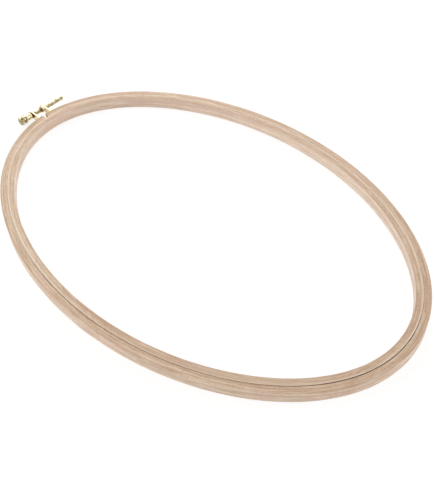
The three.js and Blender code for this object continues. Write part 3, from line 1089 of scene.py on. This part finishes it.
left_half = outer_half("outer_ring_left_half", -1)
right_half = outer_half("outer_ring_right_half", 1)
inner = inner_ring()
left_bracket = bracket("left_bracket_brass", -1, PLAIN_HOLE, 0.0)
right_bracket = bracket("right_bracket_brass", 1, TAPPED_HOLE, COLLAR_LENGTH)
screw = thumb_screw()

wear(inner, inner_wood, inner_gap)
wear(screw, turned_brass)
for half in (left_half, right_half):
    wear(half, outer_wood, end_wood, outer_gap)
    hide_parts("outer_ring")
for piece in (left_bracket, right_bracket):
    wear(piece, sheet_brass)
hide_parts("inner_ring")
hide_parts("left_bracket")
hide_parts("right_bracket")
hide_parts("thumb_screw")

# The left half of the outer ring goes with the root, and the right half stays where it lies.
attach(left_half, "root")
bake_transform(right_half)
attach(inner, "inner")
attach(left_bracket, "root")
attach(right_bracket, "right_end")
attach(screw, "screw")
for side, body, word in ((-1, "root", "left"), (1, "right_end", "right")):
    for index, y in enumerate(nail_places()):
        node = f"{word}_nail_{index + 1}"
        piece = nail(node + "_brass", side * y)
        wear(piece, nail_brass)
        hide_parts(node)
        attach(piece, body)


# Camera, as the photograph was taken

CAMERA_AZIMUTH = math.radians(43.530)
CAMERA_ELEVATION = math.radians(45.951)
CAMERA_ROLL = math.radians(-1.551)
CAMERA_PLACE = (CENTRE_X + 236.498 * MM, -230.547 * MM, 343.859 * MM)
CAMERA_LENS = 54.512
CAMERA_SHIFT = (-0.00609, -0.05785)


def direction(azimuth, elevation):
    """The way to what stands at an azimuth, counted from -y towards +x, and an elevation."""
    level = math.cos(elevation)
    return Vector((math.sin(azimuth) * level, -math.cos(azimuth) * level, math.sin(elevation)))


def camera():
    """The camera, fitted to the outlines of the rings."""
    back = direction(CAMERA_AZIMUTH, CAMERA_ELEVATION)
    level = Vector((math.cos(CAMERA_AZIMUTH), math.sin(CAMERA_AZIMUTH), 0))
    above = back.cross(level)
    right = level * math.cos(CAMERA_ROLL) + above * math.sin(CAMERA_ROLL)
    up = back.cross(right)
    data = bpy.data.cameras.new("camera")
    data.sensor_fit = "AUTO"
    data.sensor_width = 36
    data.lens = CAMERA_LENS
    data.shift_x, data.shift_y = CAMERA_SHIFT
    data.clip_start = 0.01
    data.clip_end = 50
    holder = put_in_scene("camera", data)
    turn = Matrix((right, up, back)).transposed().to_4x4()
    holder.matrix_world = Matrix.Translation(CAMERA_PLACE) @ turn
    bpy.context.scene.camera = holder


# Floor and light

FLOOR_REACH = 4.0
FLOOR_GLOW = 0.76

# The sky's strength near the horizon and overhead
SKY_LOW = 0.86
SKY_HIGH = 0.42


def seen_directly(shader):
    """1 for rays that show the background: from the camera, in metal and through glass."""
    path = shader.add("ShaderNodeLightPath").outputs
    seen = shader.math("MAXIMUM", path["Is Camera Ray"], path["Is Glossy Ray"])
    return shader.math("MAXIMUM", seen, path["Is Transmission Ray"])


def floor():
    """A plain floor, seen as white with a faint shadow."""
    s = new_shader("pale_floor")
    bounce = s.add("ShaderNodeBsdfDiffuse", {"Color": FLOOR_PALE})
    faint = s.add("ShaderNodeBsdfDiffuse", {"Color": FLOOR_SHADED})
    glow = s.add("ShaderNodeEmission", {"Color": WHITE, "Strength": FLOOR_GLOW})
    shown = s.add("ShaderNodeAddShader", {0: faint.outputs[0], 1: glow.outputs[0]})
    both = s.add("ShaderNodeMixShader", {0: seen_directly(s), 1: bounce.outputs[0],
                                         2: shown.outputs[0]})
    square = ((-1, -1), (1, -1), (1, 1), (-1, 1))
    corners = [(x * FLOOR_REACH, y * FLOOR_REACH, 0) for x, y in square]
    mesh = bpy.data.meshes.new("floor")
    mesh.from_pydata(corners, [], [(0, 1, 2, 3)])
    mesh.materials.append(s.surface(both.outputs[0]))
    put_in_scene("floor", mesh)


def sky():
    """Soft light from all round, and a white background."""
    world = bpy.data.worlds.new("studio")
    bpy.context.scene.world = world
    s = Shader(world)
    height = s.parts(s.add("ShaderNodeTexCoord").outputs["Generated"])[2]
    level = s.ease(height, 0.25, 0.75, SKY_LOW, SKY_HIGH)
    strength = s.math("MAXIMUM", level, seen_directly(s))
    light = s.add("ShaderNodeBackground", {"Color": WHITE, "Strength": strength})
    s.add("ShaderNodeOutputWorld", {"Surface": light.outputs[0]})


def softbox(name, azimuth, elevation, distance, width, height, radiance):
    """A plain lamp panel facing the hoop; radiance 1 would look white."""
    data = bpy.data.lights.new(name, "AREA")
    data.shape = "RECTANGLE"
    data.size, data.size_y = width, height
    data.energy = radiance * math.pi * width * height
    lamp = put_in_scene(name, data)
    back = direction(math.radians(azimuth), math.radians(elevation))
    lamp.location = Vector((CENTRE_X, 0, 0)) + back * distance
    lamp.rotation_mode = "QUATERNION"
    lamp.rotation_quaternion = back.to_track_quat("Z", "Y")
    lamp.visible_camera = False


camera()
floor()
sky()
softbox("left_softbox", -44.5, 20, 1.1, 0.9, 0.7, 2.6)
softbox("right_softbox", 135, 18, 1.4, 1.2, 0.8, 2.2)
softbox("front_softbox", 51.5, 20, 1.8, 1.0, 0.7, 1.5)
softbox("back_softbox", 225, 33, 0.85, 0.9, 0.5, 1.7)

bpy.context.scene.view_settings.view_transform = "Standard"
